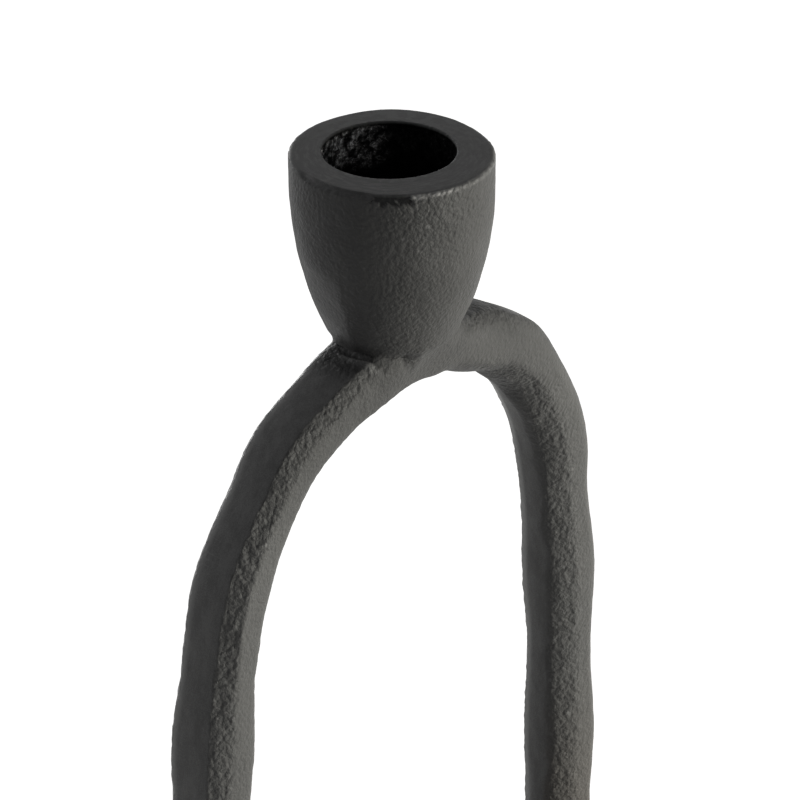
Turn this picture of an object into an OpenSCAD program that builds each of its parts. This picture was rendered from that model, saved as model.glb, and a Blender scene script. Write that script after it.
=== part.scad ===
// Candle holder for one dinner candle. A thick-walled cup is saddled on the crown of a tall arch of
// rough cast bar, and the arch stands on an oval base plate. Screws hold the three castings together,
// and felt pads keep the plate off the table. X runs along the arch, Y from front to back, and Z up
// from the surface that the holder stands on.

/* [Candle cup] */
// Diameter of the candle bore
bore_d = 23; // [21:0.1:24]
// Depth of the candle bore
bore_depth = 22; // [16:0.5:24]
// Offset of the bore from the axis of the cup along the arch
bore_shift_x = 0.4; // [-1:0.1:1]
// Offset of the bore from the axis of the cup towards the back
bore_shift_y = 0.9; // [-1:0.1:1.5]
// Diameter of the cup at its rim
cup_d = 35.3; // [33:0.1:42]
// Height of the cup from its seat on the arch to its rim
cup_h = 33.5; // [31:0.1:45]
// Diameter of the cup where it meets the arch
cup_seat_d = 22; // [19:0.1:26]
// Exponent of the cup's taper: 1 is a plain cone, more keeps the upper part straighter
cup_taper_power = 2.5; // [1:0.1:4]
// Rounding of the outer edge of the rim
rim_round = 0.5; // [0.3:0.1:2]
// Chamfer round the mouth of the bore
mouth_chamfer = 0.4; // [0.2:0.1:1]
// Rounding of the cup's lower edge, above the arch
foot_round = 1.2; // [0.5:0.1:2]
// Length of the two lips that hang down beside the arch
lip_drop = 1.8; // [1:0.1:4]
// Thickness of the two lips
lip_t = 2.4; // [1.5:0.1:3]
// Clearance between the lips and the sides of the arch
lip_gap = 0.2; // [0.1:0.05:0.4]

/* [Arch] */
// Height of the arch from the base plate to the seat of the cup
arch_h = 164; // [130:1:220]
// Distance between the centre lines of the two legs
arch_span = 99.2; // [84:0.2:104]
// Exponent of the arch's curve: 2 is an ellipse, more is squarer
arch_power = 6.5; // [3:0.1:9]
// Thickness of the bar in the plane of the arch
bar_t = 10; // [9:0.1:13]
// Depth of the bar from front to back
bar_depth = 12; // [10.5:0.1:14]
// Rounding of the four corners of the bar
bar_round = 3; // [1.5:0.1:4]
// Metal taken off the crown to make the flat seat of the cup
seat_cut = 0.4; // [0.2:0.1:0.8]

/* [Base plate] */
// Length of the plate along the arch
base_l = 128; // [120:1:180]
// Width of the plate from front to back
base_w = 84; // [76:1:140]
// Thickness of the plate
base_t = 9; // [8:0.5:14]
// Exponent of the plate's outline: 2 is an ellipse, more is squarer
base_power = 2.2; // [2:0.1:4]
// Rounding of the plate's upper edge
base_round = 3.5; // [1:0.1:4]
// Rounding of the plate's lower edge
base_foot_round = 1.2; // [0.5:0.1:2]

/* [Screws] */
// Diameter of the screw threads
screw_d = 5; // [4:0.5:5]
// Clearance round a screw in the hole that it passes through, on the radius
screw_gap = 0.25; // [0.15:0.05:0.4]
// Clearance round a screw in its tapped hole, on the radius
thread_gap = 0.1; // [0.05:0.05:0.15]
// Length of thread that holds in the crown of the arch
crown_grip = 6.2; // [4:0.1:7]
// Length of thread that holds in each leg
leg_grip = 11; // [6:0.5:18]
// Depth of a tapped hole past the end of its screw
tap_spare = 1; // [0.5:0.5:2]
// Diameter of the countersunk head in the cup
flat_head_d = 9.2; // [8:0.1:10]
// Height of the cylindrical edge of the countersunk head
flat_head_edge = 0.4; // [0.2:0.1:0.6]
// Diameter of the cap heads under the base plate
cap_head_d = 9.5; // [8:0.1:10]
// Height of the cap heads under the base plate
cap_head_h = 2.8; // [2:0.1:3]
// Size of the hexagon key across its flats
key_size = 3; // [2.5:0.5:3]
// Depth of the hexagon socket
key_depth = 1.8; // [1.2:0.1:1.9]
// Diameter of a washer
washer_d = 11; // [10.5:0.1:12]
// Thickness of a washer
washer_t = 1; // [0.5:0.1:1.2]
// Clearance round a washer in its counterbore, on the radius
washer_gap = 0.5; // [0.3:0.1:1]
// Depth at which the cap head lies inside the plate
head_sunk = 0.4; // [0.2:0.1:0.8]

/* [Felt pads] */
// Diameter of a felt pad
pad_d = 14; // [8:0.5:16]
// Thickness of a felt pad
pad_t = 2.5; // [1.5:0.1:4]
// Depth of the recess that a pad is glued into
pad_sunk = 1; // [0.5:0.1:1.5]
// Clearance round a pad in its recess, on the radius
pad_gap = 0.3; // [0.2:0.1:0.5]
// Distance between the left and the right pads
pad_span_x = 68; // [50:1:72]
// Distance between the front and the rear pads
pad_span_y = 48; // [36:1:52]

/* [Hidden] */

// Smoothness of round shapes
$fn = 96;
// Overrun that carries a cut past the surface it opens
cut = 1;
// Steps of the cup's taper, and of its lips
taper_steps = 18;
lip_steps = 6;
// Rings of the bar on each side of the crown, and points round each corner of a ring
leg_rings = 46;
corner_steps = 4;
// Points round the outline of the base plate, and steps of its edge roundings
base_points = 72;
edge_steps = 5;

// Heights of the pieces above the table
base_z = pad_t - pad_sunk;
base_top_z = base_z + base_t;
seat_z = base_top_z + arch_h;

// Swelling of the hand-shaped bar from the left foot to the right foot. Each row holds the place along
// the bar (0 is the left foot, 0.5 the crown, 1 the right foot), then the thickness, the depth and the
// outward shift as shares of the thickness and depth of the bar.
bar_shares = [
    [0.00, 1.12, 1.10, 0.00],
    [0.05, 1.00, 1.00, 0.00],
    [0.10, 1.03, 1.03, 0.01],
    [0.15, 0.98, 0.98, -0.02],
    [0.20, 1.07, 1.07, -0.03],
    [0.24, 0.97, 0.97, -0.02],
    [0.29, 1.00, 1.00, 0.04],
    [0.34, 0.94, 0.94, -0.02],
    [0.38, 0.98, 0.98, 0.07],
    [0.42, 0.99, 0.99, 0.01],
    [0.46, 1.06, 1.05, 0.02],
    [0.50, 1.02, 1.02, 0.00],
    [0.54, 1.06, 1.00, -0.03],
    [0.60, 1.28, 1.00, -0.05],
    [0.63, 1.20, 1.00, 0.02],
    [0.68, 1.01, 1.01, 0.02],
    [0.73, 1.04, 1.04, 0.07],
    [0.78, 0.96, 0.96, -0.03],
    [0.82, 1.03, 1.03, -0.01],
    [0.86, 0.93, 0.93, -0.01],
    [0.90, 1.02, 1.02, 0.04],
    [0.93, 0.96, 0.96, 0.04],
    [0.96, 1.01, 1.01, 0.00],
    [1.00, 1.12, 1.10, 0.00]];

// Height of the bar's centre line at the crown, above the base plate
crown_rise = arch_h + seat_cut - bar_t * bar_share(0.5, 1) / 2;

// Half the width of the slot in the cup that takes the crown
slot_r = bar_depth * bar_share(0.5, 2) / 2 + lip_gap;

// Angle between the side of the cup and the vertical at its foot, where the lower edge is rounded off
foot_angle = atan(cup_taper_power * (cup_d - cup_seat_d) / cup_h / 2);
foot_h = foot_round * (1 - sin(foot_angle));

// Smooth step from 0 to 1
function ease(share) = (1 - cos(180 * share)) / 2;

// Row of a table whose first column holds the given place or lies just before it
function row_before(table, place) = max([for (i = [0:len(table) - 2]) if (table[i][0] <= place) i]);

// One column of the bar's table at a place along the bar
function bar_share(place, column) =
    let (i = row_before(bar_shares, place))
    let (a = bar_shares[i])
    let (b = bar_shares[i + 1])
    a[column] + (b[column] - a[column]) * ease((place - a[0]) / (b[0] - a[0]));

// Centre line of the bar in X and Z, above the base plate, at a place from 0 to 1
function centre_line(place) =
    let (side = sign(place - 0.5))
    let (way_up = 1 - pow(2 * abs(place - 0.5), 2))
    [side * arch_span / 2 * sqrt(1 - pow(way_up, arch_power)), crown_rise * way_up];

// Outward direction of the bar, square to the centre line; the feet stand upright
function outward(i, count) =
    let (step = centre_line(min(i + 1, count) / count) - centre_line(max(i - 1, 0) / count))
    i == 0 ? [-1, 0] : i == count ? [1, 0] : [-step[1], step[0]] / norm(step);

// Rounded rectangle round its own centre
function rounded_outline(width, depth, radius) = [
    for (corner = [0:3])
        for (k = [0:corner_steps])
            let (angle = 90 * corner + 90 * k / corner_steps)
            let (side_x = corner == 0 || corner == 3 ? 1 : -1)
            let (side_y = corner < 2 ? 1 : -1)
            [side_x * (width / 2 - radius) + radius * cos(angle),
             side_y * (depth / 2 - radius) + radius * sin(angle)]];

// One ring of the bar
function bar_ring(i, count) =
    let (place = i / count)
    let (out = outward(i, count))
    let (centre = centre_line(place) + out * bar_t * bar_share(place, 3))
    let (outline = rounded_outline(bar_t * bar_share(place, 1), bar_depth * bar_share(place, 2), bar_round))
    [for (p = outline) [centre[0] + out[0] * p[0], p[1], centre[1] + out[1] * p[0]]];

// Outline of the base plate, drawn in by an inset
function base_outline(inset) = [
    for (k = [0:base_points - 1])
        let (angle = 360 * k / base_points)
        [(base_l / 2 - inset) * sign(cos(angle)) * pow(abs(cos(angle)), 2 / base_power),
         (base_w / 2 - inset) * sign(sin(angle)) * pow(abs(sin(angle)), 2 / base_power)]];

// Radius of the cup at a depth below its rim
function cup_radius(depth) = (cup_d - (cup_d - cup_seat_d) * pow(depth / cup_h, cup_taper_power)) / 2;

// Closed skin over a stack of rings with equal numbers of points
module skin(rings) {
    n = len(rings[0]);
    last = len(rings) - 1;
    points = [for (ring = rings) for (p = ring) p];
    sides = [
        for (i = [0:last - 1])
            for (k = [0:n - 1])
                let (a = i * n + k)
                let (b = i * n + (k + 1) % n)
                each [[a, b, b + n], [a, b + n, a + n]]];
    first_cap = [for (k = [0:n - 1]) n - 1 - k];
    last_cap = [for (k = [0:n - 1]) last * n + k];
    polyhedron(points, concat([first_cap], sides, [last_cap]));
}

// Hexagon socket cut downwards from the top of a head
module key_socket() {
    translate([0, 0, -key_depth])
        cylinder(d = key_size / cos(30), h = key_depth + cut, $fn = 6);
}

// Countersunk screw, its flat head at Z 0 and its shank pointing down
module flat_screw(length) {
    head_cone = (flat_head_d - screw_d) / 2;
    difference() {
        union() {
            translate([0, 0, -flat_head_edge])
                cylinder(d = flat_head_d, h = flat_head_edge);
            translate([0, 0, -flat_head_edge - head_cone])
                cylinder(d1 = screw_d, d2 = flat_head_d, h = head_cone);
            translate([0, 0, -length])
                cylinder(d = screw_d, h = length - flat_head_edge);
        }
        key_socket();
    }
}

// Cap screw, the underside of its head at Z 0 and its shank pointing up
module cap_screw(length) {
    difference() {
        union() {
            translate([0, 0, -cap_head_h])
                cylinder(d = cap_head_d, h = cap_head_h);
            cylinder(d = screw_d, h = length);
        }
        translate([0, 0, -cap_head_h])
            mirror([0, 0, 1])
                key_socket();
    }
}

// Thick-walled cup with its candle bore, saddled over the crown
module candle_cup() {
    round_angles = [for (k = [0:edge_steps]) 90 * k / edge_steps];
    rim_edge = [for (angle = round_angles)
        [cup_radius(rim_round) - rim_round * (1 - sin(angle)), cup_h - rim_round * (1 - cos(angle))]];
    taper = [for (k = [1:taper_steps])
        let (depth = rim_round + (cup_h - foot_h - rim_round) * k / taper_steps)
        [cup_radius(depth), cup_h - depth]];
    foot_edge = [for (k = [1:edge_steps])
        let (angle = foot_angle + (90 - foot_angle) * k / edge_steps)
        [cup_radius(cup_h - foot_h) + foot_round * (cos(angle) - cos(foot_angle)),
         foot_round * (1 - sin(angle))]];
    lips = [for (k = [0:lip_steps])
        let (angle = 90 * k / lip_steps)
        [slot_r + lip_t * cos(angle), -lip_drop * sin(angle)]];
    head_cone = (flat_head_d - screw_d) / 2;
    floor_z = cup_h - bore_depth;
    color("dimgray")
        translate([0, 0, seat_z])
            difference() {
                rotate_extrude()
                    polygon(concat([[0, cup_h]], rim_edge, taper, foot_edge, lips, [[0, -lip_drop]]));
                translate([bore_shift_x, bore_shift_y, floor_z])
                    cylinder(d = bore_d, h = bore_depth + cut);
                translate([bore_shift_x, bore_shift_y, cup_h - mouth_chamfer])
                    cylinder(r1 = bore_d / 2, r2 = bore_d / 2 + mouth_chamfer, h = mouth_chamfer);
                translate([-cup_d / 2, -slot_r, -lip_drop - cut])
                    cube([cup_d, 2 * slot_r, lip_drop + cut]);
                translate([0, 0, -cut])
                    cylinder(d = screw_d + 2 * screw_gap, h = floor_z + 2 * cut);
                translate([0, 0, floor_z - flat_head_edge - head_cone])
                    cylinder(r1 = screw_d / 2 + screw_gap, r2 = flat_head_d / 2 + screw_gap, h = head_cone);
                translate([0, 0, floor_z - flat_head_edge])
                    cylinder(r = flat_head_d / 2 + screw_gap, h = flat_head_edge + cut);
            }
}

// Screw that clamps the cup to the crown
module cup_screw() {
    floor_z = cup_h - bore_depth;
    color("silver")
        translate([0, 0, seat_z + floor_z])
            flat_screw(floor_z + crown_grip);
}

// Cast bar in the shape of an inverted U, with a flat seat on its crown and three tapped holes
module arch() {
    count = 2 * leg_rings;
    tap_r = screw_d / 2 + thread_gap;
    color("dimgray")
        translate([0, 0, base_top_z])
            difference() {
                skin([for (i = [0:count]) bar_ring(i, count)]);
                translate([-cup_d / 2, -bar_depth, arch_h])
                    cube([cup_d, 2 * bar_depth, bar_t]);
                translate([0, 0, arch_h - crown_grip - tap_spare])
                    cylinder(r = tap_r, h = crown_grip + tap_spare + cut);
                for (side = [-1, 1])
                    translate([side * arch_span / 2, 0, -cut])
                        cylinder(r = tap_r, h = leg_grip + tap_spare + cut);
            }
}

// Oval cast plate with counterbored screw holes and pad recesses in its underside
module base_plate() {
    foot_edge = [for (k = [0:edge_steps])
        let (angle = 90 * k / edge_steps)
        [base_foot_round * (1 - sin(angle)), base_foot_round * (1 - cos(angle))]];
    top_edge = [for (k = [0:edge_steps])
        let (angle = 90 * k / edge_steps)
        [base_round * (1 - cos(angle)), base_t - base_round * (1 - sin(angle))]];
    color("dimgray")
        translate([0, 0, base_z])
            difference() {
                skin([for (edge = concat(foot_edge, top_edge))
                    [for (p = base_outline(edge[0])) [p[0], p[1], edge[1]]]]);
                for (side = [-1, 1])
                    translate([side * arch_span / 2, 0, 0]) {
                        translate([0, 0, -cut])
                            cylinder(r = screw_d / 2 + screw_gap, h = base_t + 2 * cut);
                        translate([0, 0, -cut])
                            cylinder(r = washer_d / 2 + washer_gap, h = counterbore_h() + cut);
                    }
                for (side_x = [-1, 1], side_y = [-1, 1])
                    translate([side_x * pad_span_x / 2, side_y * pad_span_y / 2, -cut])
                        cylinder(r = pad_d / 2 + pad_gap, h = pad_sunk + cut);
            }
}

// Depth of the counterbores that take the washers and the cap heads
function counterbore_h() = head_sunk + cap_head_h + washer_t;

// Cap screw that holds one leg to the base plate
module leg_screw(side) {
    color("silver")
        translate([side * arch_span / 2, 0, base_z + head_sunk + cap_head_h])
            cap_screw(washer_t + base_t - counterbore_h() + leg_grip);
}

// Plain washer between the head of a leg screw and the base plate
module leg_washer(side) {
    color("silver")
        translate([side * arch_span / 2, 0, base_z + head_sunk + cap_head_h])
            difference() {
                cylinder(d = washer_d, h = washer_t);
                translate([0, 0, -cut])
                    cylinder(r = screw_d / 2 + screw_gap, h = washer_t + 2 * cut);
            }
}

// Felt pad glued into its recess
module felt_pad(side_x, side_y) {
    color("darkslategray")
        translate([side_x * pad_span_x / 2, side_y * pad_span_y / 2, 0])
            cylinder(d = pad_d, h = pad_t);
}

candle_cup();
cup_screw();
arch();
base_plate();
leg_screw(-1);  // left_leg_screw
leg_screw(1);  // right_leg_screw
leg_washer(-1);  // left_leg_washer
leg_washer(1);  // right_leg_washer
felt_pad(-1, -1);  // front_left_pad
felt_pad(1, -1);  // front_right_pad
felt_pad(-1, 1);  // rear_left_pad
felt_pad(1, 1);  // rear_right_pad
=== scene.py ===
"""Candle holder: a cast cup saddled on a tall arch of rough bar, on an oval base plate.

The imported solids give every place. This script dresses them with detailed pieces: three rough castings
in matt black paint, the screws and washers that hold them together, and the felt pads underneath.
Lengths are in metres, X runs along the arch, Y from front to back, and Z up from the table.
"""

import math

import bmesh
import bpy
import numpy as np
from bpy.props import FloatProperty, FloatVectorProperty, IntProperty, PointerProperty
from mathutils import Matrix, Vector, noise


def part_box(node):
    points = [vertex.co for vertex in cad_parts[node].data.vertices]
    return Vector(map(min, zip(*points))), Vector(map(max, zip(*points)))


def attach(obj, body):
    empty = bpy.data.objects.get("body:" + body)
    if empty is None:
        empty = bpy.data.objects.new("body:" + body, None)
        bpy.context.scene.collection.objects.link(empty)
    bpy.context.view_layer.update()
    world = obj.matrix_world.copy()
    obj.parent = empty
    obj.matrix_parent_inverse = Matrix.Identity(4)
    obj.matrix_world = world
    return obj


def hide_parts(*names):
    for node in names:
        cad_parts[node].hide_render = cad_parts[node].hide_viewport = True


bl_info = {
    "name": "Cast Candle Holder",
    "version": (1, 0, 0),
    "blender": (4, 5, 0),
    "location": "View3D > Sidebar > Candle Holder",
    "description": "Builds a candle holder with a cast cup on a tall arch",
    "category": "Add Mesh",
}

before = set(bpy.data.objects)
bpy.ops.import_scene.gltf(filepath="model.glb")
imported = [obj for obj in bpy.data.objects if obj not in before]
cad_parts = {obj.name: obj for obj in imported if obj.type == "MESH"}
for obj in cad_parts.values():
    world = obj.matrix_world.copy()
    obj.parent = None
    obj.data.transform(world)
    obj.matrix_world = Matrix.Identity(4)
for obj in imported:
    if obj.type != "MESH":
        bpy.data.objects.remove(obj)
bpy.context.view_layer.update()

MM = 0.001

# Heights that the pieces share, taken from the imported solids
RIM_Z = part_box("candle_cup")[1].z
SEAT_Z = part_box("arch")[1].z
PLATE_TOP_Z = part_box("base_plate")[1].z
PLATE_FOOT_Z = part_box("base_plate")[0].z

# Swelling of the hand-shaped bar from the left foot to the right foot. Each row holds the place along
# the bar (0 is the left foot, 0.5 the crown, 1 the right foot), then the thickness, the depth and the
# outward shift as shares of the bar's own.
BAR_SHARES = np.array((
    (0.00, 1.12, 1.10, 0.00),
    (0.05, 1.00, 1.00, 0.00),
    (0.10, 1.03, 1.03, 0.01),
    (0.15, 0.98, 0.98, -0.02),
    (0.20, 1.07, 1.07, -0.03),
    (0.24, 0.97, 0.97, -0.02),
    (0.29, 1.00, 1.00, 0.04),
    (0.34, 0.94, 0.94, -0.02),
    (0.38, 0.98, 0.98, 0.07),
    (0.42, 0.99, 0.99, 0.01),
    (0.46, 1.06, 1.05, 0.02),
    (0.50, 1.02, 1.02, 0.00),
    (0.54, 1.11, 1.00, -0.05),
    (0.60, 1.34, 1.00, -0.06),
    (0.63, 1.25, 1.00, 0.03),
    (0.68, 1.04, 1.01, 0.03),
    (0.73, 1.04, 1.04, 0.07),
    (0.78, 0.96, 0.96, -0.03),
    (0.82, 1.03, 1.03, -0.01),
    (0.86, 0.93, 0.93, -0.01),
    (0.90, 1.02, 1.02, 0.04),
    (0.93, 0.96, 0.96, 0.04),
    (0.96, 1.01, 1.01, 0.00),
    (1.00, 1.12, 1.10, 0.00),
))

# How far the front corner that shows is hammered down: the outer one left of the crown, the inner one
# right of it. Each row holds the place along the bar, the cut into the front face, the cut into the outer
# or inner face and the softness of the cut, all as shares of the bar's thickness, then the strength of
# the hammer marks.
CORNER_SHARES = np.array((
    (0.00, 0.28, 0.30, 0.16, 1.0),
    (0.19, 0.28, 0.40, 0.18, 1.0),
    (0.23, 0.30, 0.36, 0.08, 1.0),
    (0.27, 0.32, 0.31, 0.03, 1.0),
    (0.31, 0.30, 0.33, 0.04, 1.0),
    (0.35, 0.27, 0.34, 0.06, 1.0),
    (0.39, 0.22, 0.36, 0.08, 1.0),
    (0.43, 0.20, 0.36, 0.06, 0.9),
    (0.47, 0.16, 0.26, 0.05, 0.6),
    (0.50, 0.10, 0.10, 0.05, 0.1),
    (0.56, 0.34, 0.26, 0.20, 0.3),
    (0.61, 0.66, 0.40, 0.30, 0.5),
    (0.66, 0.62, 0.44, 0.30, 0.6),
    (0.71, 0.42, 0.44, 0.26, 0.7),
    (0.77, 0.36, 0.44, 0.24, 0.7),
    (0.86, 0.37, 0.46, 0.24, 0.7),
    (0.93, 0.36, 0.46, 0.24, 0.7),
    (1.00, 0.30, 0.34, 0.20, 0.7),
))

# Values that the castings carry for their paint, among them where shade, glints and highlights are
# painted
MASKS = ("ground", "hammered", "turned", "chipped", "dark", "specked", "worn")

# Radii of the screws' shanks, of their tapped holes and of their clearance holes
SHANK_RADIUS = 2.5 * MM
TAPPED_RADIUS = 2.6 * MM
CLEAR_RADIUS = 2.75 * MM

# Share of the bar's own thickness and depth that it has at its crown, and the gap between the bar and
# the cup's lips
CROWN_SHARE = 1.02
LIP_GAP = 0.2 * MM

# Radius and depth of the countersink in the floor of the bore
COUNTERSINK_RADIUS = 4.85 * MM
COUNTERSINK_DEPTH = 2.5 * MM

# Angle above which an edge of the turned metal parts is shown sharp
SHARP_ANGLE = math.radians(40.0)

WHITE = (1.0, 1.0, 1.0)

PAD_NAMES = ("front_left_pad", "front_right_pad", "rear_left_pad", "rear_right_pad")


def millimetres(*sizes):
    """Sizes in metres from sizes in millimetres."""
    return tuple(size * MM for size in sizes)


# Reach in millimetres of the hollow that joins the cup and the bar, by the angle in degrees from the
# front towards the right
HOLLOW_REACH = (
    (-180, 5.0), (-130, 3.0), (-100, 2.0), (-55, 2.0), (-38, 3.0), (-22, 7.0), (60, 6.0), (90, 4.0),
    (130, 5.0), (180, 5.0))

# Points of the cup and the bar that lie inside the other piece begin to follow the hollow between these
# two gaps, which are negative there
HOLLOW_GAPS = millimetres(-2.6, -1.9)

# Angles of the marks round the cup, in degrees from the front towards the right: where each one starts,
# where it is full, and where it fades and ends
BULGE_ANGLES = (-5.0, 30.0, 50.0, 85.0)
WIDE_RIM_ANGLES = (95.0, 130.0, 130.0, 165.0)
NARROW_RIM_ANGLES = (40.0, 72.0, 76.0, 104.0)
RUBBED_ANGLES = (-125.0, -105.0, -64.0, -53.0)
PEENED_ANGLES = (-85.0, -55.0, -10.0, 30.0)
BRIGHT_EDGE_ANGLES = (-45.0, -20.0, 50.0, 80.0)
SHADED_ANGLES = (-112.0, -98.0, -62.0, -48.0)
BEAD_ANGLES = (-102.0, -88.0, -56.0, -44.0)

# Depths of the marks below the rim, given in the same way
BULGE_DEPTHS = millimetres(3.0, 11.0, 24.0, 33.0)
NEAR_RIM_DEPTHS = millimetres(0.0, 0.2, 0.5, 1.6)
EDGE_DEPTHS = millimetres(0.03, 0.2, 0.7, 1.1)
SPECKED_DEPTHS = millimetres(0.3, 1.2, 4.0, 10.0)

# The chip's middle is at this angle, and the burr's reach is the way along the rim to its right
CHIP_ANGLE = -50.0
BURR_REACH = millimetres(1.5, 4.5, 9.0, 15.0)

# The flat filed at the cup's lower left: the way it faces, half the angle that it takes, how much the
# cosine of the angle rises from its edge to its middle, and the depths below the rim where it comes in
FILED_ANGLE = -104.0
FILED_HALF_ANGLE = 21.0
FILED_RISE = 0.066
FILED_DEPTHS = millimetres(15.0, 22.0)

# Reach of the bar's swelling along X, and of the pitted patches on the arms, which carry painted shade,
# from the cup's axis
SWELL_REACH = millimetres(-13.0, -5.0, 9.0, 20.0)
LEFT_SPOTS_REACH = millimetres(19.0, 14.0)
RIGHT_SPOTS_REACH = millimetres(12.0, 13.0, 26.0, 31.0)

# How far the marks stand out of the skin or lie in it
BULGE_HEIGHT = 0.28 * MM
FILED_CUT = 0.34 * MM
BURR_HEIGHT = 0.16 * MM
CHIP_CUT = 0.28 * MM
BEAD_HEIGHT = 0.35 * MM


# Settings


def length_setting(name, description, default, low, high):
    """A length that can be changed. The default and the limits are given in millimetres."""
    return FloatProperty(
        name=name, description=description, default=default * MM, min=low * MM, max=high * MM,
        precision=5, subtype="DISTANCE", unit="LENGTH")


def number_setting(name, description, default, low, high, subtype="NONE"):
    """A number that can be changed between two limits."""
    return FloatProperty(
        name=name, description=description, default=default, min=low, max=high, subtype=subtype)


def angle_setting(name, description, default):
    """An angle that can be changed. The default is given in degrees."""
    return FloatProperty(
        name=name, description=description, default=math.radians(default), subtype="ANGLE",
        unit="ROTATION")


def power_setting(name, description, default):
    """The power of a lamp, which can be changed."""
    return FloatProperty(name=name, description=description, default=default, min=0.0, unit="POWER")


def colour_setting(name, description, default):
    """A colour that can be changed."""
    return FloatVectorProperty(
        name=name, description=description, default=default, size=3, min=0.0, max=1.0, subtype="COLOR")


class CupSizes(bpy.types.PropertyGroup):
    """Sizes of the candle cup"""

    rim_diameter: length_setting(
        "Rim diameter", "Outside diameter of the cup at its rim", 35.3, 30.0, 42.0)
    foot_diameter: length_setting(
        "Foot diameter", "Outside diameter of the cup where it meets the arch", 22.0, 19.0, 26.0)
    taper: number_setting(
        "Taper", "Exponent of the taper: 1 is a plain cone, more keeps the upper part straighter",
        2.5, 1.0, 4.0)
    bore_diameter: length_setting(
        "Bore diameter", "Diameter of the bore that takes the candle", 23.0, 21.0, 24.0)
    bore_depth: length_setting("Bore depth", "Depth of the candle bore", 22.0, 16.0, 24.0)
    bore_offset: FloatVectorProperty(
        name="Bore offset", description="Offset of the bore from the axis of the cup",
        default=(0.4 * MM, 0.9 * MM), size=2, precision=5, subtype="TRANSLATION", unit="LENGTH")
    rim_edge: length_setting("Rim edge", "Rounding of the outer edge of the rim", 0.8, 0.2, 2.0)
    foot_edge: length_setting("Foot edge", "Rounding of the lower edge, above the arch", 1.2, 0.5, 2.0)
    lip_drop: length_setting(
        "Lip drop", "Length of the two lips that hang down beside the arch", 1.8, 0.5, 4.0)
    lip_thickness: length_setting("Lip thickness", "Thickness of the two lips", 2.4, 1.0, 3.0)


class BarSizes(bpy.types.PropertyGroup):
    """Sizes of the bar that the arch is made of"""

    span: length_setting("Span", "Distance between the centre lines of the two legs", 99.2, 84.0, 104.0)
    curve: number_setting(
        "Curve", "Exponent of the arch's curve: 2 is an ellipse, more is squarer", 6.5, 3.0, 9.0)
    thickness: length_setting(
        "Thickness", "Thickness of the bar in the plane of the arch", 10.0, 9.0, 13.0)
    depth: length_setting("Depth", "Depth of the bar from front to back", 12.0, 10.5, 14.0)
    corner_radius: length_setting(
        "Corner radius", "Rounding of the cast corners before the two flats are ground", 3.4, 1.5, 4.5)
    grind: length_setting(
        "Grind", "Metal taken off the outer and the inner face by grinding them flat", 0.3, 0.0, 1.0)
    outer_crown: length_setting(
        "Outer crown", "Rise of the middle of the outer face above its edges", 0.6, 0.0, 1.5)
    inner_crown: length_setting(
        "Inner crown", "Rise of the middle of the inner face above its edges", 1.3, 0.0, 2.0)
    swell: length_setting("Swell", "Swelling of the bar's front just under the cup", 1.4, 0.0, 2.5)
    seat_cut: length_setting(
        "Seat cut", "Metal taken off the crown to make the flat seat of the cup", 0.4, 0.2, 0.8)


class PlateSizes(bpy.types.PropertyGroup):
    """Sizes of the base plate and the felt pads under it"""

    outline: number_setting(
        "Outline", "Exponent of the plate's outline: 2 is an ellipse, more is squarer", 2.2, 2.0, 4.0)
    top_edge: length_setting("Top edge", "Rounding of the plate's upper edge", 3.5, 1.0, 4.0)
    foot_edge: length_setting("Foot edge", "Rounding of the plate's lower edge", 1.2, 0.5, 2.0)
    pad_recess: length_setting(
        "Pad recess", "Depth of the recess that a felt pad is glued into", 1.0, 0.5, 1.5)


class CastSkin(bpy.types.PropertyGroup):
    """Texture of the castings"""

    broad: length_setting(
        "Broad lumps", "Height of the broad unevenness left by the mould", 0.12, 0.0, 0.4)
    hammered: length_setting(
        "Hammered lumps", "Height of the lumps along the corners of the bar", 0.24, 0.0, 0.5)
    hammered_size: length_setting(
        "Lump size", "Distance between the lumps along the corners of the bar", 1.25, 0.8, 4.0)
    pits: length_setting("Bore pits", "Depth of the pits in the wall of the bore", 0.22, 0.0, 0.5)
    peel: length_setting("Peel", "Height of the fine pebbles in the painted skin", 0.25, 0.0, 0.6)
    peel_size: length_setting(
        "Peel size", "Distance between the fine pebbles in the painted skin", 0.75, 0.3, 2.0)


class Finishes(bpy.types.PropertyGroup):
    """Colours and sheen of the finishes"""

    paint: colour_setting(
        "Paint", "Colour of the matt black paint on the castings", (0.063, 0.063, 0.063))
    paint_roughness: number_setting(
        "Paint roughness", "Roughness of the paint on the castings", 0.55, 0.0, 1.0, "FACTOR")
    paint_sheen: number_setting(
        "Paint sheen", "Strength of the paint's reflection", 0.10, 0.0, 1.0, "FACTOR")
    steel: colour_setting("Steel", "Colour of the zinc-plated screws and washers", (0.56, 0.56, 0.54))
    felt: colour_setting("Felt", "Colour of the felt pads", (0.020, 0.020, 0.021))


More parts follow.
